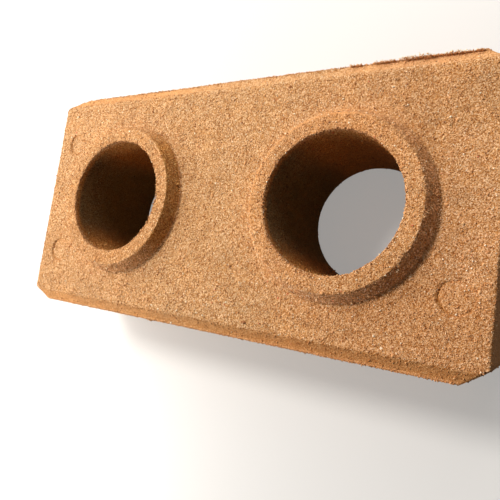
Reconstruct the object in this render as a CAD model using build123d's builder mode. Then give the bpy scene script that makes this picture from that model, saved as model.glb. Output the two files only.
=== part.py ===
from build123d import *
import os

# Interlocking soil-cement brick, pressed in one piece. Lengths are in millimetres.
# X runs along the brick, Y across it, Z up. The origin is the centre of the bed face,
# which lies on z = 0. The collars stand up from the top face.

# Body
body_length = 250.0
body_width = 125.0
body_height = 62.5

# Flat cut down each upright corner, along the long side and along the end
corner_cut_along_side = 10.0
corner_cut_along_end = 7.0

# Bevel along both long edges, top and bottom: inwards from the side, and up or down it
bevel_run = 5.5
bevel_drop = 3.3

# Two bores on the long centre line
hole_spacing = 125.0
bore_diameter = 61.0

# Cone-shaped collar round each bore, which locates the brick of the next course
collar_height = 7.5
collar_top_diameter = 74.8
collar_base_diameter = 83.0
collar_edge_radius = 1.2
collar_foot_radius = 1.5

# Gap between a collar and the socket that drops over it, on its side and over its top
seat_clearance = 0.5

# Shallow round marks that the heads of the mould plate's screws leave in the top face
imprint_diameter = 14.0
imprint_depth = 0.6
imprint_spacing_along = 221.5
imprint_spacing_across = 65.0
imprint_shift = 1.25

# Values that follow from the sizes above
bore_radius = bore_diameter / 2
collar_top_radius = collar_top_diameter / 2
collar_base_radius = collar_base_diameter / 2
collar_lean = (collar_base_radius - collar_top_radius) / collar_height

# The socket is the collar's own cone, moved out by the gap
socket_depth = collar_height + seat_clearance
socket_mouth_radius = collar_base_radius + seat_clearance
socket_ceiling_radius = socket_mouth_radius - collar_lean * socket_depth
socket_lip_radius = collar_foot_radius + seat_clearance

standing = (Align.CENTER, Align.CENTER, Align.MIN)

with BuildPart() as brick:
    # Plan of the body, with its four corners cut
    with BuildSketch():
        with BuildLine():
            Polyline(
                (0, body_width / 2),
                (body_length / 2 - corner_cut_along_side, body_width / 2),
                (body_length / 2, body_width / 2 - corner_cut_along_end),
                (body_length / 2, 0),
            )
            mirror(about=Plane.XZ)
            mirror(about=Plane.YZ)
        make_face()
    extrude(amount=body_height)

    # Cross section of the body, with its four bevels
    with BuildSketch(Plane.YZ):
        with BuildLine():
            Polyline(
                (0, 0),
                (body_width / 2 - bevel_run, 0),
                (body_width / 2, bevel_drop),
                (body_width / 2, body_height - bevel_drop),
                (body_width / 2 - bevel_run, body_height),
                (0, body_height),
            )
            mirror(about=Plane.YZ)
        make_face()
    extrude(amount=body_length / 2, both=True, mode=Mode.INTERSECT)

    # Collars on the top face, with a rounded edge and a rounded foot
    with Locations((0, 0, body_height)):
        with GridLocations(hole_spacing, 0, 2, 1):
            Cone(collar_base_radius, collar_top_radius, collar_height, align=standing)
    fillet(brick.edges().group_by(Axis.Z)[-1], collar_edge_radius)
    collar_feet = brick.edges().filter_by(GeomType.CIRCLE).filter_by_position(
        Axis.Z, body_height, body_height
    )
    fillet(collar_feet, collar_foot_radius)

    # Sockets in the bed face, with a rounded lip that clears the foot of a collar
    with GridLocations(hole_spacing, 0, 2, 1):
        Cone(
            socket_mouth_radius,
            socket_ceiling_radius,
            socket_depth,
            align=standing,
            mode=Mode.SUBTRACT,
        )
    socket_mouths = brick.edges().filter_by(GeomType.CIRCLE).filter_by_position(Axis.Z, 0, 0)
    fillet(socket_mouths, socket_lip_radius)

    # Bores, from the ceiling of each socket up through its collar
    with GridLocations(hole_spacing, 0, 2, 1):
        Hole(bore_radius)

    # Screw-head marks in the corners of the top face
    with BuildSketch(Plane.XY.offset(body_height)):
        with Locations((imprint_shift, 0)):
            with GridLocations(imprint_spacing_along, imprint_spacing_across, 2, 2):
                Circle(imprint_diameter / 2)
    extrude(amount=-imprint_depth, mode=Mode.SUBTRACT)

brick.part.label = "brick"

os.makedirs("parts", exist_ok=True)
export_step(brick.part, "parts/brick.step")
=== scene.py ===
"""Looks of a pressed soil-cement brick: its sandy skin, its grains, floor, light and camera.

The skin and its grains are worked out in millimetres, and their meshes are made in metres.
X runs along the brick, Y across it and Z up, from the centre of the bed face.
"""

import math

import bmesh
import bpy
import numpy as np
from mathutils import Matrix, Vector, noise
from mathutils.geometry import delaunay_2d_cdt


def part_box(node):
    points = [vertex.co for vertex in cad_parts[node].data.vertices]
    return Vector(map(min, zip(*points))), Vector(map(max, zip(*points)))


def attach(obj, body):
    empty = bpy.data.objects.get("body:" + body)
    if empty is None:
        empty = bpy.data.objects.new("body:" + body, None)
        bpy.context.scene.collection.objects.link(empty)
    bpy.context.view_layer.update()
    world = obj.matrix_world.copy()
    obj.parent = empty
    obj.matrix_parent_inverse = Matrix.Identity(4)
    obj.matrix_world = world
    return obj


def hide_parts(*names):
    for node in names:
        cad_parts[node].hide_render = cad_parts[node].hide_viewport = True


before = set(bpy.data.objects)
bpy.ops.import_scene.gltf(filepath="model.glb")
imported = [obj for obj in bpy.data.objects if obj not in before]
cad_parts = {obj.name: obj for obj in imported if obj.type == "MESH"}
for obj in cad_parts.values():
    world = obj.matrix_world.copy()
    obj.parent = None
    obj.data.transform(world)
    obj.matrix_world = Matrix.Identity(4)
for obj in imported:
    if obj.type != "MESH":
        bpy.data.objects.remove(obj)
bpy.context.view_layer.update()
node_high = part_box("brick")[1]

MM = 0.001
draw = np.random.default_rng(62)

# Body, from the frame and from the brick's own sizes
half_length = node_high.x / MM
half_width = node_high.y / MM
collar_height = 7.5
face_z = node_high.z / MM - collar_height
corner_cut_along_side = 10.0
corner_cut_along_end = 7.0
bevel_run = 5.5
bevel_drop = 3.3
bevel_edge = half_width - bevel_run
bevel_foot = face_z - bevel_drop
ring_z = face_z + collar_height

# Lip and arris of a top bevel: how far out from the bevel's edge, and how far down from the face
lip_run = 4.3
arris_run = 5.25
arris_drop = 2.65

# Holes, collars and sockets
hole_centres = (-62.5, 62.5)
bore_radius = 30.5
collar_top_radius = 37.6
collar_base_radius = 41.5
socket_depth = 8.0
socket_mouth_radius = 42.0
socket_ceiling_radius = 37.63

# Screw-head marks in the top face, each with a groove round its edge
mark_radius = 6.6
mark_depth = 0.55
groove_depth = 0.55
mark_centres = [(x, y) for x in (-109.5, 112.0) for y in (-32.5, 32.5)]
mark_strengths = (1.0, 1.0, 0.85, 0.3)

# Spacing of the skin's points
face_step = 0.86
bed_step = 2.2
side_step = 1.6
collar_step = 0.9
bore_step = 1.7
hole_segments = 224
foot_ring_radius = 44.6
mouth_ring_radius = 45.6
mark_ring_radii = (5.7, 6.1, 6.45, 6.8, 7.3)
mark_segments = 84

# Flat sheet that the skin is laid out on, for its texture map
sheet_side = 492.0
sheet_gap = 4.0

# How close a point lies to the surface that it belongs to: a flat one, a bore's wall, the bed
near_flat = 0.3
near_bore = 0.6
near_bed = 0.2

# The skin of the bed stands this far above the floor, and its grains reach down to it
bed_gap = 0.35


def rounded_path(corners, arc_step):
    """Points along a run of straight lines whose corners are rounded.

    Each corner is (across, height, radius, step of the straight run that follows).
    """
    knots = [Vector(c[:2]) for c in corners]
    path = [knots[0]]
    for i in range(1, len(knots)):
        start, step = path[-1], corners[i - 1][3]
        if i == len(knots) - 1 or corners[i][2] == 0:
            entry, arc = knots[i], []
        else:
            entry, arc = corner_arc(knots[i - 1], knots[i], knots[i + 1], corners[i][2], arc_step)
        count = max(1, round((entry - start).length / step))
        path += [start.lerp(entry, k / count) for k in range(1, count + 1)]
        path += arc
    return [(p.x, p.y) for p in path]


def corner_arc(before, corner, after, radius, step):
    """The point where a rounded corner starts, and the points of its arc after that one."""
    way_in = (before - corner).normalized()
    way_out = (after - corner).normalized()
    half_angle = way_in.angle(way_out) / 2
    reach = radius / math.tan(half_angle)
    centre = corner + (way_in + way_out).normalized() * (radius / math.sin(half_angle))
    first = corner + way_in * reach - centre
    last = corner + way_out * reach - centre
    turn = first.angle_signed(last)
    count = max(2, round(abs(turn) * radius / step))
    arc = []
    for k in range(1, count + 1):
        angle = -turn * k / count
        turned = Vector((first.x * math.cos(angle) - first.y * math.sin(angle),
                         first.x * math.sin(angle) + first.y * math.cos(angle)))
        arc.append(centre + turned)
    return corner + way_in * reach, arc


class Skin:
    """The brick's closed surface: points, triangles, and each triangle's place on the sheet."""

    def __init__(self):
        self.points = []
        self.triangles = []
        self.places = []

    def ring(self, points):
        """Adds points, and returns their numbers."""
        first = len(self.points)
        self.points += points
        return list(range(first, len(self.points)))

    def add(self, *corners):
        """Adds a triangle from three pairs of a point's number and its place on the sheet."""
        self.triangles.append(tuple(number for number, place in corners))
        self.places += [place for number, place in corners]

    def band(self, rings, corner, around, folds=1):
        """Joins each closed ring to the next with triangles.

        They lie on the sheet from corner on, in as many strips as there are folds. around is
        the length of all the strips together.
        """
        count = len(rings[0])
        drops = [0.0]
        for upper, lower in zip(rings, rings[1:]):
            step = Vector(self.points[upper[0]]) - Vector(self.points[lower[0]])
            drops.append(drops[-1] + step.length)
        for row, (upper, lower) in enumerate(zip(rings, rings[1:])):
            flips = draw.random(count) < 0.5
            for i in range(count):
                fold = i * folds // count
                left = corner[0] + around * (i / count - fold / folds)
                right = left + around / count
                top = corner[1] + fold * (drops[-1] + sheet_gap) + drops[row]
                foot = top + drops[row + 1] - drops[row]
                a = upper[i], (left, top)
                b = upper[(i + 1) % count], (right, top)
                c = lower[(i + 1) % count], (right, foot)
                d = lower[i], (left, foot)
                if flips[i]:
                    self.add(a, b, c)
                    self.add(a, c, d)
                else:
                    self.add(a, b, d)
                    self.add(b, c, d)

    def fill(self, height, outline, holes, hole_radius, inner, corner):
        """Fills a flat face between its outline and its holes, through the points of inner."""
        added = self.ring([(x, y, height) for x, y in inner.tolist()])
        numbers = outline + [n for hole in holes for n in hole] + added
        flat = [Vector(self.points[n][:2]) for n in numbers]
        edges, start = [], 0
        for loop in [outline] + holes:
            count = len(loop)
            edges += [(start + i, start + (i + 1) % count) for i in range(count)]
            start += count
        inside_only, tolerance = 1, 1e-7
        found = delaunay_2d_cdt(flat, edges, [], inside_only, tolerance)
        faces, sources = found[2], found[3]
        shift = Vector(corner) + Vector((half_length, half_width))
        clear = hole_radius * math.cos(math.pi / hole_segments)
        for face in faces:
            origins = [sources[k][0] for k in face]
            middle = sum((flat[k] for k in origins), Vector((0, 0))) / 3
            if min((middle - Vector((x, 0))).length for x in hole_centres) > clear:
                self.add(*((numbers[k], tuple(flat[k] + shift)) for k in origins))


def scattered(step):
    """Points over the whole plan of the brick, on a triangular grid with each one nudged."""
    xs = np.arange(-half_length, half_length, step)
    ys = np.arange(-half_width, half_width, step * math.sqrt(3) / 2)
    x, y = np.meshgrid(xs, ys)
    x = x + step / 2 * (np.arange(len(ys)) % 2)[:, None]
    grid = np.stack([x.ravel(), y.ravel()], 1)
    return grid + draw.uniform(-0.3, 0.3, grid.shape) * step


def body_ring(width_here, height, end_inset):
    """Points round the body at one height, counter-clockwise from the right end."""
    narrowing = (half_width - width_here) / corner_cut_along_end
    cut_x = half_length - corner_cut_along_side * (1 - narrowing)
    cut_x -= end_inset * corner_cut_along_side / half_length
    end_x = half_length - end_inset
    end_y = half_width - corner_cut_along_end
    knots = [(end_x, -end_y), (end_x, end_y), (cut_x, width_here), (-cut_x, width_here),
             (-end_x, end_y), (-end_x, -end_y), (-cut_x, -width_here), (cut_x, -width_here)]
    counts = [end_count, cut_count, side_count, cut_count] * 2
    points = []
    for i, count in enumerate(counts):
        (x0, y0), (x1, y1) = knots[i], knots[(i + 1) % len(knots)]
        points += [(x0 + (x1 - x0) * k / count, y0 + (y1 - y0) * k / count, height)
                   for k in range(count)]
    return points


end_count = round(2 * (half_width - corner_cut_along_end) / side_step)
side_count = round(2 * (half_length - corner_cut_along_side) / side_step)
cut_count = round(math.hypot(corner_cut_along_side, corner_cut_along_end) / side_step)

# The flat of the top and of the bed ends this far inside the bevels' edges, and inside the ends
flat_side_inset = 0.4
flat_end_inset = 0.8

# Section of the body from the top face down to the bed: half width, height, inset of the ends
top_rows = [
    (bevel_edge - flat_side_inset, face_z, flat_end_inset),
    (bevel_edge + 0.5, face_z - 0.25, 0.35),
    (bevel_edge + 1.4, face_z - 0.95, 0.1),
    (bevel_edge + 2.4, face_z - 1.7, 0.0),
    (bevel_edge + 3.4, face_z - 2.25, 0.0),
    (bevel_edge + 4.15, face_z - 2.5, 0.0),
    (bevel_edge + 4.7, face_z - 2.55, 0.0),
    (bevel_edge + arris_run, face_z - arris_drop, 0.0),
    (half_width, bevel_foot - 0.1, 0.0),
]
wall_count = round((bevel_foot - bevel_drop) / side_step)
wall_rows = [
    (half_width, bevel_foot + (bevel_drop - bevel_foot) * k / wall_count, 0.0)
    for k in range(1, wall_count)
]
bed_rows = [
    (half_width, bevel_drop + 0.1, 0.0),
    (bevel_edge + 4.6, bevel_drop - 0.6, 0.0),
    (bevel_edge + 3.1, bevel_drop - 1.5, 0.0),
    (bevel_edge + 1.6, bevel_drop - 2.4, 0.1),
    (bevel_edge + 0.6, bevel_drop - 3.0, 0.35),
    (bevel_edge - flat_side_inset, 0.0, flat_end_inset),
]

# Section round a hole, from the top face over the collar, down the bore and into the socket
hole_path = rounded_path(
    [
        (foot_ring_radius, face_z, 0, collar_step),
        (collar_base_radius, face_z, 1.0, collar_step),
        (collar_top_radius, ring_z, 0.6, collar_step),
        (bore_radius, ring_z, 0.4, bore_step),
        (bore_radius, socket_depth, 0.5, bore_step),
        (socket_ceiling_radius, socket_depth, 0.6, bore_step),
        (socket_mouth_radius, 0.0, 2.0, bore_step),
        (mouth_ring_radius, 0.0, 0, bore_step),
    ],
    arc_step=0.6,
)


def hole_ring(centre_x, radius, height):
    """Points round one hole."""
    turns = np.arange(hole_segments) * (2 * math.pi / hole_segments)
    return [(centre_x + radius * math.cos(t), radius * math.sin(t), height) for t in turns]


def face_points(step, hole_ring_radius):
    """Scattered points of a flat face, clear of its outline and of the rings of its holes."""
    points = scattered(step)
    x, y = points.T
    margin = step * 0.6
    cut = corner_cut_along_end / corner_cut_along_side
    near_cut = half_width - corner_cut_along_end + (half_length - np.abs(x)) * cut
    near = np.abs(x) > half_length - flat_end_inset - margin
    near |= np.abs(y) > bevel_edge - flat_side_inset - margin
    near |= np.abs(y) > near_cut - 1.4 * margin
    for centre in hole_centres:
        near |= np.hypot(x - centre, y) < hole_ring_radius + margin
    return points[~near]


def with_mark_rings(points):
    """The points of the top face, with rings of closer ones at the edge of each screw-head mark."""
    clearance = 0.4
    inner, outer = mark_ring_radii[0] - clearance, mark_ring_radii[-1] + clearance
    for cx, cy in mark_centres:
        r = np.hypot(points[:, 0] - cx, points[:, 1] - cy)
        points = points[(r < inner) | (r > outer)]
    rings = []
    turns = np.arange(mark_segments) * (2 * math.pi / mark_segments)
    for cx, cy in mark_centres:
        for k, radius in enumerate(mark_ring_radii):
            t = turns + k * math.pi / mark_segments
            r = radius + draw.uniform(-0.08, 0.08, mark_segments)
            rings.append(np.stack([cx + r * np.cos(t), cy + r * np.sin(t)], 1))
    return np.concatenate([points] + rings)


def build_skin():
    """The whole brick as one closed skin, before its relief."""
    skin = Skin()
    body = [skin.ring(body_ring(*row)) for row in top_rows + wall_rows + bed_rows]
    holes = [[skin.ring(hole_ring(x, *p)) for p in hole_path] for x in hole_centres]

    # The top and bed faces lie one after the other on the sheet, each with a hole's strip beside
    # it, and the sides follow in two strips
    length, width = 2 * half_length, 2 * half_width
    top_place = (sheet_gap, sheet_gap)
    bed_place = (sheet_gap, width + 2 * sheet_gap)
    side_place = (sheet_gap, 2 * width + 3 * sheet_gap)
    perimeter = 2 * (length + width)
    hole_turn = sheet_side - length - 3 * sheet_gap
    skin.band(body, side_place, perimeter, folds=2)
    for hole, (x, y) in zip(holes, (top_place, bed_place)):
        skin.band(hole, (x + length + sheet_gap, y), hole_turn)
    top_points = with_mark_rings(face_points(face_step, foot_ring_radius))
    bed_points = face_points(bed_step, mouth_ring_radius)
    skin.fill(face_z, body[0], [h[0] for h in holes], foot_ring_radius, top_points, top_place)
    skin.fill(0.0, body[-1], [h[-1] for h in holes], mouth_ring_radius, bed_points, bed_place)
    return skin


def mesh_object(name, points, triangles, places):
    """A mesh object from points in millimetres. places are its triangles' corners on a map."""
    mesh = bpy.data.meshes.new(name)
    corners = np.asarray(triangles, np.int32).ravel()
    mesh.vertices.add(len(points))
    mesh.vertices.foreach_set("co", (np.asarray(points) * MM).ravel())
    mesh.loops.add(len(corners))
    mesh.loops.foreach_set("vertex_index", corners)
    mesh.polygons.add(len(corners) // 3)
    mesh.polygons.foreach_set("loop_start", np.arange(0, len(corners), 3, np.int32))
    mesh.update(calc_edges=True)
    mesh.uv_layers.new(name="OFBake").uv.foreach_set("vector", np.asarray(places).ravel())
    thing = bpy.data.objects.new(name, mesh)
    bpy.context.scene.collection.objects.link(thing)
    return thing


def note(thing, name, values):
    """Keeps a number for each point of a mesh, for its material to read."""
    layer = thing.data.attributes.new(name, "FLOAT", "POINT")
    layer.data.foreach_set("value", np.asarray(values, np.float32))


def note_tints(thing, points):
    """Keeps, at each point of a mesh, the earth's warm tint and painted shade, its redness, and its
    painted light and shade.
    """
    note(thing, "tint_and_painted_shade", tint_and_painted_shade_at(points))
    note(thing, "red", redness(points))
    note(thing, "painted_light_and_shade", painted_light_and_shade(points))


def outward(mesh):
    """Turns every face of a closed mesh outwards."""
    work = bmesh.new()
    work.from_mesh(mesh)
    bmesh.ops.recalc_face_normals(work, faces=work.faces)
    work.to_mesh(mesh)
    work.free()
    mesh.update()


skin = build_skin()
brick = mesh_object("brick_body", skin.points, skin.triangles, np.array(skin.places) / sheet_side)
outward(brick.data)


def waves(points, length, seed):
    """Smooth noise from -1 to 1 with about the given wave length, in millimetres."""
    shift = Vector((seed * 31.7, seed * 17.3, seed * 7.9))
    return np.array([noise.noise(Vector(p) / length + shift) for p in points.tolist()])


def smooth(low, high, value):
    """0 below low, 1 above high, and a smooth step between."""
    t = np.clip((value - low) / (high - low), 0, 1)
    return t * t * (3 - 2 * t)


def round_hole(points):
    """Offset along X from the nearer hole's axis, distance from it, and turn round it in degrees."""
    x, y, _ = points.T
    offset = x - np.where(x > 0, hole_centres[1], hole_centres[0])
    return offset, np.hypot(offset, y), np.degrees(np.arctan2(y, offset))


def top_parts(points):
    """Which points lie on the collars, the front bevel, that bevel's lip, and the back bevel."""
    _, y, z = points.T
    collar = z > face_z + 1
    high = z > bevel_foot - 0.5
    front = high & (y < -bevel_edge - 0.2)
    lip = high & (y < -bevel_edge - lip_run)
    back = high & (y > bevel_edge + 0.2)
    return collar, front, lip, back


def sandiness(points):
    """How sandy each point of the skin is: 1 on the top face and most on the collars' slopes."""
    x, y, z = points.T
    offset, r, _ = round_hole(points)
    _, front, _, back = top_parts(points)
    face = z > face_z - near_flat
    ring = z > ring_z - near_flat
    slope = face & ~ring & (r > bore_radius + near_bore) & (r < collar_base_radius - near_flat)
    bore = (r < bore_radius + near_bore) & ~ring
    bevel = (front | back) & (z < face_z - near_flat)
    bed = z < near_bed
    bore_sand = 0.6 + 0.4 * smooth(face_z - 30, face_z, z)
    bevel_sand = np.where(y > 0, 0.45 + 0.35 * smooth(-40, 20, x) * smooth(80, 50, x), 0.6)
    finish = np.select(
        [ring, slope, bore, face, bevel, bed],
        [1.0, 1.5, bore_sand, 1.0, bevel_sand, 0.8],
        default=0.5,
    )
    # The right collar's edge and foot are rubbed smooth and a little paler on its left and at its
    # back, which face the light: partly wear, partly painted highlight
    edge = np.exp(-((r - collar_top_radius + 0.3) / 0.4) ** 2)
    foot = np.exp(-((r - collar_base_radius) / 0.45) ** 2)
    to_back_left = (y - offset) / (r * math.sqrt(2))
    worn_lit_side = np.where(face & (x > 0), smooth(0.1, 0.7, to_back_left), 0)
    return finish * (1 - 0.7 * worn_lit_side * np.maximum(edge, foot))


def tint_and_painted_shade_at(points):
    """How much painted shade darkens the earth, with a slight warm tint below 0.2: 0 on the left of
    the top face, and about 1 low in a bore on its left.
    """
    x, y, z = points.T
    offset, r, turn = round_hole(points)
    collar, front, lip, back = top_parts(points)
    bore = r < bore_radius + near_bore
    # Painted shade in the bores: a bore's wall is darkest to the left, which is the part that shows,
    # and darker deeper down
    to_left = (0.1 * y - 0.995 * offset) / r
    under_rim = smooth(face_z + 7.3, face_z + 2.5, z)
    on_wall = 0.2 + under_rim * (0.25 + 0.48 * smooth(0.45, 0.95, to_left))
    on_wall += 0.17 * smooth(face_z - 5, face_z - 35, z)
    # Painted shade on the left collar's slope, on its right, which faces away from the light
    left_slope = (x < 0) & (offset > 0) & (r > collar_top_radius - 0.2)
    on_collar = 0.2 + 0.36 * left_slope * smooth(-60, -15, turn) * smooth(75, 25, turn)
    # Painted shade on the front bevel, which faces away from the light, a little less on its lip
    on_front = np.where(lip, 0.2, 0.28 + 0.05 * smooth(-20, 40, x))
    # The back bevel loses the warm tint towards the right, which makes it a little paler there:
    # painted light
    on_back = 0.2 - 0.2 * smooth(-70, 10, x)
    # A warm tint towards the right of the top face, and painted shade in the screw-head marks' grooves
    on_face = 0.12 * smooth(0, 90, x) + 0.45 * marks(points)[1]
    return np.select(
        [bore, collar, front, back],
        [on_wall, on_collar, on_front, on_back],
        default=on_face,
    )


def redness(points):
    """How red the earth is: most towards the right end and the near side."""
    x, y, _ = points.T
    collar, front, _, _ = top_parts(points)
    on_collar = 0.5 * smooth(0, 50, x)
    on_front = 0.9 * smooth(-10, 60, x)
    on_face = smooth(20, 100, x) * (0.4 + 0.6 * smooth(20, -40, y))
    return np.select([collar, front], [on_collar, on_front], default=on_face)


def painted_light_and_shade(points):
    """Painted light and shade on the earth: paler above 0.5 and duller below, from 0 to 1 with 0.5 in
    most places.
    """
    x, y, _ = points.T
    offset, r, turn = round_hole(points)
    collar, front, lip, back = top_parts(points)
    # Painted light on the right collar's slope on its near side, which is in shade, and painted shade
    # on its left, which faces the light; the left collar is dull on its left too, painted shade where
    # the light falls strongly
    slope = r > collar_top_radius - 0.2
    near_side = smooth(-130, -80, turn) * smooth(30, 0, turn)
    left_side = smooth(110, 150, turn) + smooth(-150, -170, turn)
    on_right = 0.5 + slope * (0.45 * near_side - 0.2 * left_side)
    on_collar = np.where(x > 0, on_right, 0.5 - 0.12 * smooth(-60, -75, x))
    # Painted shade on the front bevel and its lip, which face away from the light, and painted light
    # on the back bevel towards the right
    on_lip, on_front = 0.42, 0.26
    on_back = 0.25 + 0.4 * smooth(-70, 20, x)
    # Painted shade dulls the top face a little at both ends, and painted light makes it pale in the
    # middle of its right edge, against the right collar's shadow
    on_face = 0.5 - 0.12 * smooth(-90, -115, x) - 0.15 * smooth(60, 100, x)
    on_face += 0.5 * smooth(98, 106, x) * smooth(-45, -15, y) * smooth(45, 20, y)
    return np.select(
        [collar, lip, front, back],
        [on_collar, on_lip, on_front, on_back],
        default=on_face,
    )


def marks(points):
    """How far the screw-head marks sink, most on their left, and how strong their groove is."""
    x, y, z = points.T
    depth, groove = np.zeros(len(points)), np.zeros(len(points))
    for (cx, cy), strength in zip(mark_centres, mark_strengths):
        near = np.flatnonzero((np.hypot(x - cx, y - cy) < mark_radius + 2.5) & (z > face_z - 0.5))
        spots = points[near]
        r = np.hypot(x[near] - cx, y[near] - cy) + waves(spots, 2.6, 6) * 0.4
        to_right = (0.95 * (x[near] - cx) + 0.3 * (y[near] - cy)) / mark_radius
        leftness = np.clip(0.55 - 0.5 * to_right, 0, 1)
        inside = smooth(mark_radius + 0.15, mark_radius - 0.15, r)
        depth[near] = mark_depth * (0.25 + 0.9 * leftness) * inside * strength
        by_edge = np.exp(-((r - mark_radius + 0.45) / 0.4) ** 2)
        broken = 0.35 * smooth(-0.2, 0.3, waves(spots, 5, 8))
        groove[near] = by_edge * (broken + leftness) * strength
    return depth, groove


def relief(points, normals):
    """The points of the skin after its lumps, pits, worn edges and screw-head marks."""
    x, y, z = points.T
    count = len(points)
    sand = sandiness(points)
    broad = waves(points, 28, 1) * 0.15 + waves(points, 9, 2) * 0.12
    lumps = waves(points, 3.4, 3) * 0.06 + waves(points, 1.9, 4) * 0.07
    grain = draw.normal(0, 0.045, count)
    to_right = smooth(20, 90, x)
    pitted = draw.random(count) < 0.025 - 0.013 * to_right
    pits = np.where(pitted, draw.uniform(0.15, 0.5, count), 0)
    lumps *= 1 - 0.5 * to_right
    height = broad + (lumps + grain - pits) * sand
    height -= np.where(z < near_bed, bed_gap, 0)
    moved = points + normals * height[:, None]

    # Rims and arrises crumble inwards, more in some places than in others
    rim = np.zeros(count)
    for centre in hole_centres:
        r = np.hypot(x - centre, y)
        near_rim = np.hypot(r - bore_radius, z - face_z - collar_height)
        rim = np.maximum(rim, 1 - smooth(0.3, 1.8, near_rim))
        near_edge = np.hypot(r - collar_top_radius, z - face_z - collar_height)
        rim = np.maximum(rim, 0.6 - 0.6 * smooth(0.3, 1.6, near_edge))
    crumble = np.clip(waves(points, 4.5, 5) * 1.6 + 0.3 * draw.normal(0, 1, count), 0, 1.2)
    moved -= normals * (rim * crumble * 0.5)[:, None]

    # The back arris is worn on its left, most at the corner
    by_arris = smooth(52, 60, y) * smooth(face_z - 9, face_z - 2, z)
    by_arris *= np.clip((x + half_length) / corner_cut_along_side, 0, 1)
    moved[:, 1] -= by_arris * arris_wear(x) * (1 + 0.5 * waves(points, 7, 10))

    # A ragged fin of squeezed-out earth stands on the back arris
    arris = (np.abs(y - bevel_edge - arris_run) < 0.1) & (z > face_z - 4)
    moved[:, 2] += np.where(arris, fin_height(x) * draw.uniform(0.1, 0.5, count), 0)

    # Screw-head marks sink straight down
    depth, groove = marks(points)
    moved[:, 2] -= depth + groove_depth * groove
    moved[:, 2] = np.maximum(moved[:, 2], 0)
    return moved


def arris_wear(x):
    """How far the back arris is worn in, along the brick."""
    return 0.4 * smooth(0, -30, x) + 0.8 * smooth(-107, -114, x)


# Runs of the fin on the back arris: from, to, height
fin_runs = [
    (-88, 121, 0.15),
    (61, 66, 1.4),
    (72, 81, 1.9),
    (82, 90, 1.9),
    (90.5, 96, 2.9),
    (96, 117, 1.8),
]


def fin_height(x):
    """Height of the fin on the back arris, along the brick."""
    fade = 0.8
    return sum(height * smooth(start - fade, start + fade, x) * (1 - smooth(end - fade, end + fade, x))
               for start, end, height in fin_runs)


def read(items, name, width, kind=np.float32):
    """The named values of a mesh's points or faces, with one row for each."""
    values = np.empty(len(items) * width, kind)
    items.foreach_get(name, values)
    return values.reshape(-1, width)


def shape(thing):
    """Gives the built skin its relief."""
    mesh = thing.data
    points = read(mesh.vertices, "co", 3).astype(float) / MM
    normals = read(mesh.vertices, "normal", 3).astype(float)
    note(thing, "sand", sandiness(points))
    note_tints(thing, points)
    mesh.vertices.foreach_set("co", (relief(points, normals) * MM).ravel())
    mesh.update()


shape(brick)
brick.data.shade_smooth()


class Paint:
    """Short ways to build a material's nodes, with lengths in millimetres."""

    def __init__(self, name, roughness, specular):
        self.material = bpy.data.materials.new(name)
        self.material.use_nodes = True
        self.tree = self.material.node_tree
        self.shader = self.tree.nodes["Principled BSDF"]
        self.shader.inputs["Roughness"].default_value = roughness
        self.shader.inputs["Specular IOR Level"].default_value = specular
        coords = self.tree.nodes.new("ShaderNodeTexCoord")
        scaled = self.tree.nodes.new("ShaderNodeVectorMath")
        scaled.operation = "SCALE"
        self.put(scaled.inputs[0], coords.outputs["Object"])
        self.put(scaled.inputs["Scale"], 1 / MM)
        self.place = scaled.outputs["Vector"]

    def put(self, socket, value):
        """Links or sets one input."""
        if isinstance(value, bpy.types.NodeSocket):
            self.tree.links.new(value, socket)
        else:
            socket.default_value = value

    def maths(self, operation, first, second):
        """What an operation makes of two numbers."""
        node = self.tree.nodes.new("ShaderNodeMath")
        node.operation = operation
        self.put(node.inputs[0], first)
        self.put(node.inputs[1], second)
        return node.outputs["Value"]

    def noise(self, size, detail=2):
        """Cloudy noise from 0 to 1."""
        node = self.tree.nodes.new("ShaderNodeTexNoise")
        node.inputs["Scale"].default_value = 1 / size
        node.inputs["Detail"].default_value = detail
        node.inputs["Roughness"].default_value = 0.6
        self.put(node.inputs["Vector"], self.place)
        return node.outputs["Fac"]

    def cells(self, size, output):
        """Cells like packed grains: the chance colour of each, or the distance from its middle."""
        node = self.tree.nodes.new("ShaderNodeTexVoronoi")
        node.inputs["Scale"].default_value = 1 / size
        self.put(node.inputs["Vector"], self.place)
        return node.outputs[output]

    def tinted(self, colour, shade_and_tint_stops):
        """The colour with its warm tint and painted shade, its redness, and its painted light and
        shade.
        """
        for name, stops in (("tint_and_painted_shade", shade_and_tint_stops), ("red", red_stops), ("painted_light_and_shade", painted_light_and_shade_stops)):
            colour = self.times(colour, self.ramp(self.known(name), stops))
        return colour

    def known(self, name):
        """A number that is kept for each point of the mesh."""
        node = self.tree.nodes.new("ShaderNodeAttribute")
        node.attribute_name = name
        return node.outputs["Fac"]

    def ramp(self, value, stops, steps=False):
        """The colour that belongs to a number, from stops of (number, colour)."""
        node = self.tree.nodes.new("ShaderNodeValToRGB")
        self.put(node.inputs["Fac"], value)
        node.color_ramp.interpolation = "CONSTANT" if steps else "LINEAR"
        elements = node.color_ramp.elements
        while len(elements) < len(stops):
            elements.new(0.5)
        for element, (at, colour) in zip(elements, stops):
            element.position = at
            element.color = (*colour, 1)
        return node.outputs["Color"]

    def times(self, first, second, share=1.0):
        """The first colour multiplied by the second, as far as the share says."""
        node = self.tree.nodes.new("ShaderNodeMix")
        node.data_type = "RGBA"
        node.blend_type = "MULTIPLY"
        self.put(node.inputs["Factor"], share)
        self.put(node.inputs["A"], first)
        self.put(node.inputs["B"], second)
        return node.outputs["Result"]

    def bump(self, height, strength, distance):
        """Shades the surface as if it rose and sank with the height."""
        node = self.tree.nodes.new("ShaderNodeBump")
        self.put(node.inputs["Height"], height)
        self.put(node.inputs["Strength"], strength)
        node.inputs["Distance"].default_value = distance * MM
        self.put(self.shader.inputs["Normal"], node.outputs["Normal"])


def grey(level):
    """A colour with three equal parts."""
    return (level, level, level)


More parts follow.
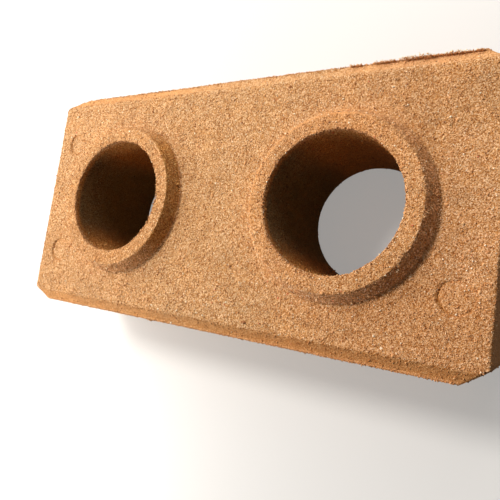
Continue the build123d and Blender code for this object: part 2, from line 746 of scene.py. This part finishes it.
plain = grey(1.0)

# What the warm tint and painted shade, the redness, and the painted light and shade make of the
# earth's colour
warm_tint_stops = [(0.0, plain), (0.2, (1.03, 0.955, 0.87))]
painted_shade_stops = [(0.45, (0.82, 0.66, 0.38)), (0.85, (0.36, 0.39, 0.34)), (1.0, (0.26, 0.31, 0.25))]
red_stops = [(0.0, plain), (1.0, (1.0, 0.93, 0.92))]
painted_light_and_shade_stops = [(0.0, grey(0.78)), (0.5, plain), (1.0, (1.13, 1.15, 1.22))]

# Dark and pale cells of the skin: large ones, small ones, and more of them for the sandiest places
coarse_stops = [(0.0, (0.88, 0.80, 0.68)), (0.5, plain), (1.0, (1.11, 1.18, 1.30))]
fine_stops = [(0.0, (0.38, 0.23, 0.07)), (0.5, plain), (1.0, (1.42, 1.75, 2.25))]
extra_stops = [(0.0, (0.28, 0.18, 0.08)), (0.5, plain), (1.0, (1.8, 2.05, 2.5))]

# What sandiness makes of the earth's colour, and the painted shade in the skin's low places and
# painted light on its high ones
sand_stops = [(0.3, (1.04, 1.05, 1.06)), (0.55, plain), (0.8, (0.945, 0.97, 0.99))]
relief_light_and_shade_stops = [(0.0, (0.76, 0.60, 0.38)), (0.18, plain), (0.34, (1.12, 1.24, 1.50))]


def earth_colour(paint):
    """Mottled orange-brown earth."""
    soft = paint.noise(30, detail=3)
    earth = paint.ramp(soft, [(0.32, (0.620, 0.327, 0.137)), (0.68, (0.715, 0.364, 0.144))])
    blotches = paint.ramp(paint.noise(6), [(0.35, grey(0.93)), (0.65, grey(1.05))])
    # Warm tint and painted shade, redness, and painted light and shade, from the numbers kept on the
    # mesh
    return paint.tinted(paint.times(earth, blotches), warm_tint_stops + painted_shade_stops)


def skin_material():
    """Pressed sandy earth: cells of pale and dark grain, as strong as the skin is sandy."""
    paint = Paint("soil_cement", roughness=0.92, specular=0.2)
    sand = paint.known("sand")
    coarse = paint.ramp(paint.cells(0.8, "Color"), coarse_stops)
    fine = paint.ramp(paint.cells(0.4, "Color"), fine_stops)
    earth = paint.times(earth_colour(paint), paint.ramp(sand, sand_stops))
    colour = paint.times(earth, paint.times(coarse, fine), sand)
    # Only the collars' slopes are sandier than 1
    extra = paint.ramp(paint.cells(0.55, "Color"), extra_stops)
    colour = paint.times(colour, extra, paint.maths("SUBTRACT", sand, 1.0))
    # Painted shade and light on the fine relief: low places between the grains are darker and browner,
    # high ones paler
    dips = paint.maths("MULTIPLY", paint.cells(0.6, "Distance"), -0.6)
    height = paint.maths("ADD", paint.noise(0.5, detail=1), dips)
    colour = paint.times(colour, paint.ramp(height, relief_light_and_shade_stops), sand)
    paint.put(paint.shader.inputs["Base Color"], colour)
    strength = paint.maths("MULTIPLY", paint.maths("MINIMUM", sand, 1.0), 0.6)
    paint.bump(height, strength, 0.5)
    return paint.material


# Places in the row of kinds of grain: the last of the quartz, and the few red ones after it
palest, reddest = 0.995, 0.996


def grain_material():
    """Loose sand: mostly the earth's own colour, with some pale, dark and quartz grains."""
    paint = Paint("sand_grains", roughness=0.8, specular=0.35)
    kinds = paint.ramp(paint.known("kind"), [
        (0.00, (0.36, 0.15, 0.055)),
        (0.10, (0.54, 0.25, 0.09)),
        (0.38, (0.70, 0.35, 0.135)),
        (0.74, (0.84, 0.50, 0.23)),
        (0.940, (0.93, 0.68, 0.40)),
        (0.982, (0.98, 0.82, 0.58)),
        (reddest, (0.74, 0.20, 0.10)),
    ], steps=True)
    shades = paint.ramp(paint.noise(0.5), [(0.3, grey(0.85)), (0.7, grey(1.12))])
    # The grains take the painted shade and painted light of the skin round them, but not its warm tint
    colour = paint.tinted(paint.times(kinds, shades), [(0.2, plain)] + painted_shade_stops)
    paint.put(paint.shader.inputs["Base Color"], colour)
    return paint.material


soil_cement = skin_material()
sand_grains = grain_material()
brick.data.materials.append(soil_cement)
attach(brick, "root")
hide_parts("brick")


def eight_sided():
    """Points and triangles of an eight-sided form, for a small grain."""
    points = [(1, 0, 0), (-1, 0, 0), (0, 1, 0), (0, -1, 0), (0, 0, 1), (0, 0, -1)]
    upper = [(0, 2, 4), (2, 1, 4), (1, 3, 4), (3, 0, 4)]
    lower = [(2, 0, 5), (1, 2, 5), (3, 1, 5), (0, 3, 5)]
    return np.array(points, float), np.array(upper + lower)


def twenty_sided():
    """Points and triangles of a twenty-sided form, for a large grain."""
    work = bmesh.new()
    bmesh.ops.create_icosphere(work, subdivisions=1, radius=1.0)
    points = np.array([tuple(v.co) for v in work.verts])
    faces = np.array([[v.index for v in f.verts] for f in work.faces])
    work.free()
    return points, faces


def turned(points, count):
    """The points turned at random, once for each of count grains."""
    q = draw.normal(0, 1, (count, 4))
    w, x, y, z = (q / np.linalg.norm(q, axis=1)[:, None]).T
    turns = np.array([
        [1 - 2 * (y * y + z * z), 2 * (x * y - z * w), 2 * (x * z + y * w)],
        [2 * (x * y + z * w), 1 - 2 * (x * x + z * z), 2 * (y * z - x * w)],
        [2 * (x * z - y * w), 2 * (y * z + x * w), 1 - 2 * (x * x + y * y)],
    ])
    return np.einsum("ijn,npj->npi", turns, points)


def grain_piece(name, centres, radii, large=False, kinds=None, paler=0.0):
    """Makes one piece of many grains, each turned, squashed and dented in its own way.

    paler moves them all up the row of kinds, towards quartz.
    """
    corners, faces = twenty_sided() if large else eight_sided()
    count, sides = len(centres), len(corners)
    own = corners[None] * draw.uniform(0.7, 1.15, (count, 1, 3))
    own = own + draw.normal(0, 0.13, own.shape)
    points = centres[:, None] + turned(own, count) * radii[:, None, None]
    points[..., 2] = np.maximum(points[..., 2], 0)
    triangles = faces[None] + sides * np.arange(count)[:, None, None]

    # Each grain has a small cell of the map to itself
    across = math.ceil(math.sqrt(count))
    cell = np.stack([np.arange(count) % across, np.arange(count) // across], 1)
    in_cell = np.array([(0.15, 0.15), (0.85, 0.15), (0.15, 0.85)])
    places = (cell[:, None, None] + in_cell[None, None]) / across
    places = np.broadcast_to(places, (count, len(faces), 3, 2))

    piece = mesh_object(name, points.reshape(-1, 3), triangles.reshape(-1, 3), places)
    kinds = draw.random(count) if kinds is None else kinds
    kinds = np.where(kinds < reddest, np.minimum(kinds * (1 + paler), palest), kinds)
    note(piece, "kind", np.repeat(kinds, sides))
    note_tints(piece, np.repeat(centres, sides, axis=0))
    piece.data.materials.append(sand_grains)
    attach(piece, "root")


def skin_triangles():
    """Corners, areas, outward directions and sandiness of the skin's triangles, in millimetres."""
    mesh = brick.data
    numbers = read(mesh.polygons, "vertices", 3, np.int32)
    corners = read(mesh.vertices, "co", 3).astype(float)[numbers] / MM
    sand = read(mesh.attributes["sand"].data, "value", 1)[numbers, 0].mean(1)
    cross = np.cross(corners[:, 1] - corners[:, 0], corners[:, 2] - corners[:, 0])
    length = np.linalg.norm(cross, axis=1)
    return corners, length / 2, cross / length[:, None], sand


def sow(density):
    """Scatters places for grains over the skin, density(centre, sand) per square millimetre.

    Returns where each meets the skin and the skin's outward direction there.
    """
    corners, areas, ways, sand = skin_triangles()
    share = density(corners.mean(1), sand) * areas
    count = int(share.sum())
    chosen = draw.choice(len(share), count, p=share / share.sum())
    a, b = draw.random((2, count))
    fold = a + b > 1
    a, b = np.where(fold, 1 - a, a), np.where(fold, 1 - b, b)
    c = corners[chosen]
    spots = c[:, 0] + a[:, None] * (c[:, 1] - c[:, 0]) + b[:, None] * (c[:, 2] - c[:, 0])
    return spots, ways[chosen]


def sizes_of(count, middle, most):
    """Radii of grains, most of them near the middle size and a few about twice as large."""
    return np.clip(middle * np.exp(draw.normal(0, 0.35, count)), 0.15, most)


def sown(name, density, middle, most, proud=0.1, large=False, paler=0.0):
    """Makes a piece of grains pressed into the skin."""
    spots, ways = sow(density)
    radii = sizes_of(len(spots), middle, most)
    lift = radii * draw.uniform(proud - 0.35, proud + 0.2, len(spots))
    grain_piece(name, spots + ways * lift[:, None], radii, large, paler=paler)


def on_top(spot):
    """1 on the top face and the collars, 0 elsewhere."""
    return ((spot[:, 2] > face_z - near_flat) & (sandiness(spot) > 0.7)).astype(float)


def in_bore(spot):
    """1 on the walls of the bores, 0 elsewhere."""
    _, r, _ = round_hole(spot)
    return ((r < bore_radius + near_bore) & (spot[:, 2] < ring_z - near_flat)).astype(float)


def beside(spot):
    """1 on the bevels, sides, sockets and bed, 0 elsewhere."""
    return (1 - on_top(spot)) * (1 - in_bore(spot))


# Grains per square millimetre of the top, and the height above which the bevels have more of them
top_density = 1.25
bevel_height = 58

sown("grains_top_left", lambda c, s: on_top(c) * (c[:, 0] < 0) * top_density, 0.27, 0.6)
sown(
    "grains_top_right",
    lambda c, s: on_top(c) * (c[:, 0] >= 0) * (top_density - 0.5 * smooth(40, 100, c[:, 0])),
    0.26, 0.5, paler=0.07,
)
sown("grains_bores", lambda c, s: in_bore(c) * (0.25 + 0.9 * smooth(35, 62, c[:, 2])), 0.27, 0.6)
sown("grains_sides", lambda c, s: beside(c) * (0.1 + 0.8 * s * (c[:, 2] > bevel_height)), 0.26, 0.6)
sown(
    "grains_coarse",
    lambda c, s: 0.006 + 0.02 * on_top(c),
    0.5, 0.95, proud=-0.2, large=True, paler=0.045,
)


def arris_crumbs():
    """Makes crumbs of earth along both arrises of the top, with more in the fin, where the higher ones
    are paler: painted light on its lit tips.
    """
    reach, tries = 114, 10000
    x = draw.uniform(-reach, reach, tries)
    back = draw.random(len(x)) < 0.5
    tall = np.where(back, fin_height(x), 0)
    kept = draw.random(len(x)) < np.where(back, 0.12, 0.35) + 0.6 * tall
    x, tall, back = x[kept], tall[kept], back[kept]
    radii = sizes_of(len(x), 0.23, 0.5)
    flat = np.zeros(len(x))
    patches = waves(np.stack([x, flat, flat], 1), 3, 9)
    up = draw.random(len(x)) * (0.7 + 0.6 * draw.random(len(x)) + patches)
    y = bevel_edge + arris_run + draw.normal(0, 0.15, len(x)) - 0.1 * tall
    y = np.where(back, y - arris_wear(x), -y)
    z = face_z - arris_drop + tall * np.maximum(up, 0)
    # Crumbs higher up the fin are paler: painted light where the light catches its tips
    kinds = 0.65 * draw.random(len(x)) + 0.6 * np.minimum(tall, 1) * up + 0.1
    spots = np.stack([x, y, z], 1)
    grain_piece("arris_crumbs", spots, radii, kinds=np.clip(kinds, 0, 0.985))


def rim_crumbs():
    """Makes crumbs of earth along the bores' rims, on the wall's top and the ring's inside."""
    tries = 6000
    turn = draw.uniform(0, 2 * math.pi, tries)
    centre = draw.choice(hole_centres, len(turn))
    x, y = centre + bore_radius * np.cos(turn), bore_radius * np.sin(turn)
    patches = waves(np.stack([x, y, np.zeros(len(x))], 1), 5, 11)
    kept = draw.random(len(x)) < 0.25 + 0.5 * patches
    turn, centre = turn[kept], centre[kept]
    along = draw.uniform(-1.6, 0.7, len(turn))
    proud = draw.normal(-0.02, 0.12, len(turn))
    r = bore_radius + np.where(along < 0, -proud, along)
    z = ring_z + np.where(along < 0, along, proud)
    spots = np.stack([centre + r * np.cos(turn), r * np.sin(turn), z], 1)
    radii = sizes_of(len(spots), 0.28, 0.65)
    grain_piece("rim_crumbs", spots, radii, kinds=draw.random(len(spots)) * 0.95)


arris_crumbs()
rim_crumbs()


def make_floor():
    """A wide pale floor under the brick."""
    bpy.ops.mesh.primitive_plane_add(size=6, location=(0, 0, 0))
    floor = bpy.context.object
    floor.name = "floor"
    material = bpy.data.materials.new("floor")
    material.use_nodes = True
    tree = material.node_tree
    shader = tree.nodes["Principled BSDF"]
    shader.inputs["Roughness"].default_value = 0.9

    # Pale to the camera, and darker to the light that it would throw back up at the brick
    pale, dark, glow = (0.5, 0.49, 0.48, 1), (0.05, 0.05, 0.05, 1), 0.3
    path = tree.nodes.new("ShaderNodeLightPath")
    seen = tree.nodes.new("ShaderNodeMath")
    seen.operation = "MAXIMUM"
    tree.links.new(path.outputs["Is Camera Ray"], seen.inputs[0])
    tree.links.new(path.outputs["Is Glossy Ray"], seen.inputs[1])
    shade = tree.nodes.new("ShaderNodeMix")
    shade.data_type = "RGBA"
    shade.inputs["A"].default_value = dark
    shade.inputs["B"].default_value = pale
    tree.links.new(seen.outputs["Value"], shade.inputs["Factor"])
    tree.links.new(shade.outputs["Result"], shader.inputs["Base Color"])
    glowing = tree.nodes.new("ShaderNodeMath")
    glowing.operation = "MULTIPLY"
    glowing.inputs[1].default_value = glow
    tree.links.new(seen.outputs["Value"], glowing.inputs[0])
    tree.links.new(glowing.outputs["Value"], shader.inputs["Emission Strength"])
    shader.inputs["Emission Color"].default_value = (1.0, 0.98, 0.95, 1)
    floor.data.materials.append(material)


def make_sky():
    """A dim even sky for light, and a paler one behind the floor for the camera."""
    world = bpy.data.worlds.new("sky")
    bpy.context.scene.world = world
    world.use_nodes = True
    tree = world.node_tree
    sky = tree.nodes["Background"]
    sky.inputs["Color"].default_value = (1.0, 0.97, 0.94, 1)
    path = tree.nodes.new("ShaderNodeLightPath")
    strength = tree.nodes.new("ShaderNodeMapRange")
    for_light, for_camera = 0.13, 0.38
    strength.inputs["To Min"].default_value = for_light
    strength.inputs["To Max"].default_value = for_camera
    tree.links.new(path.outputs["Is Camera Ray"], strength.inputs["Value"])
    tree.links.new(strength.outputs["Result"], sky.inputs["Strength"])


def lamp(name, azimuth, zenith, distance, size, power, colour):
    """A round lamp that shines on the brick. Angles are in degrees, lengths in metres."""
    data = bpy.data.lights.new(name, "AREA")
    data.shape = "DISK"
    data.size = size
    data.energy = power
    data.color = colour
    thing = bpy.data.objects.new(name, data)
    bpy.context.scene.collection.objects.link(thing)
    turn, lean = math.radians(azimuth), math.radians(zenith)
    away = Vector((math.sin(lean) * math.cos(turn), math.sin(lean) * math.sin(turn), math.cos(lean)))
    thing.location = away * distance
    thing.rotation_mode = "QUATERNION"
    thing.rotation_quaternion = away.to_track_quat("Z", "Y")


def make_light():
    """The main lamp to the left, behind and above, and three weaker ones closer to the brick."""
    warm = (1.0, 0.97, 0.92)
    lamp("main_lamp", 143, 29, 0.9, 0.22, 6.4, warm)
    lamp("near_lamp", 160, 60, 0.45, 0.35, 1.42, warm)
    lamp("left_lamp", 228, 74, 0.34, 0.2, 0.76, warm)
    lamp("back_lamp", 67, 68, 0.35, 0.25, 0.42, warm)


def make_camera():
    """The camera at the photograph's viewing angle."""
    data = bpy.data.cameras.new("camera")
    data.sensor_width = 36
    data.lens = 35.47
    data.shift_x = 0.0254
    data.shift_y = -0.0434
    data.clip_start = 0.01
    data.clip_end = 20
    camera = bpy.data.objects.new("camera", data)
    bpy.context.scene.collection.objects.link(camera)
    place = Vector((0.1415, -0.0378, 0.2535))
    right = Vector((0.8354, 0.138, -0.5321))
    up = Vector((-0.0563, 0.9844, 0.1668))
    back = right.cross(up).normalized()
    up = back.cross(right).normalized()
    turn = Matrix((right.normalized(), up, back)).transposed()
    camera.matrix_world = Matrix.Translation(place) @ turn.to_4x4()
    bpy.context.scene.camera = camera


make_floor()
make_sky()
make_light()
make_camera()
bpy.context.scene.view_settings.view_transform = "Standard"
